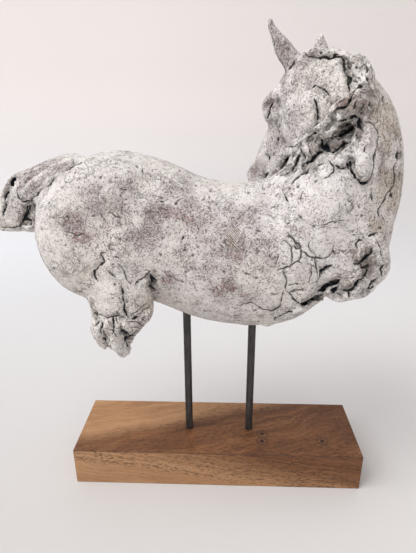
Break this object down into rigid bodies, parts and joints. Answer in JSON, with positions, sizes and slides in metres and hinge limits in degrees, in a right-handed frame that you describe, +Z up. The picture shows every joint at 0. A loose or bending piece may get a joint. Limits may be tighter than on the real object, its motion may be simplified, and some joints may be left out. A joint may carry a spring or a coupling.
{
  "type": "horse sculpture",
  "caption": "Rough white stoneware horse torso looking back over its flank, held over a long oak block on two steel rods",
  "frame": {"origin": "centre of the oak block's underside", "axes": "+Z up, +X along the block towards the horse's chest, +Y towards the horse's left, the side to which it turns its head"},
  "size_m": [0.3792, 0.1424, 0.4463],
  "materials": {
    "white_stoneware": "unglazed white slip over rough grogged stoneware, with mauve-grey stains and dark oxide in the cracks",
    "dark_steel": "mill-finish round steel bar, blackened, satin",
    "oiled_oak": "sawn oak with open grain, thinly oiled"
  },
  "bodies": {
    "root": {"horse": "white_stoneware", "rear_rod": "dark_steel", "front_rod": "dark_steel", "oak_block": "oiled_oak"}
  },
  "joints": []
}
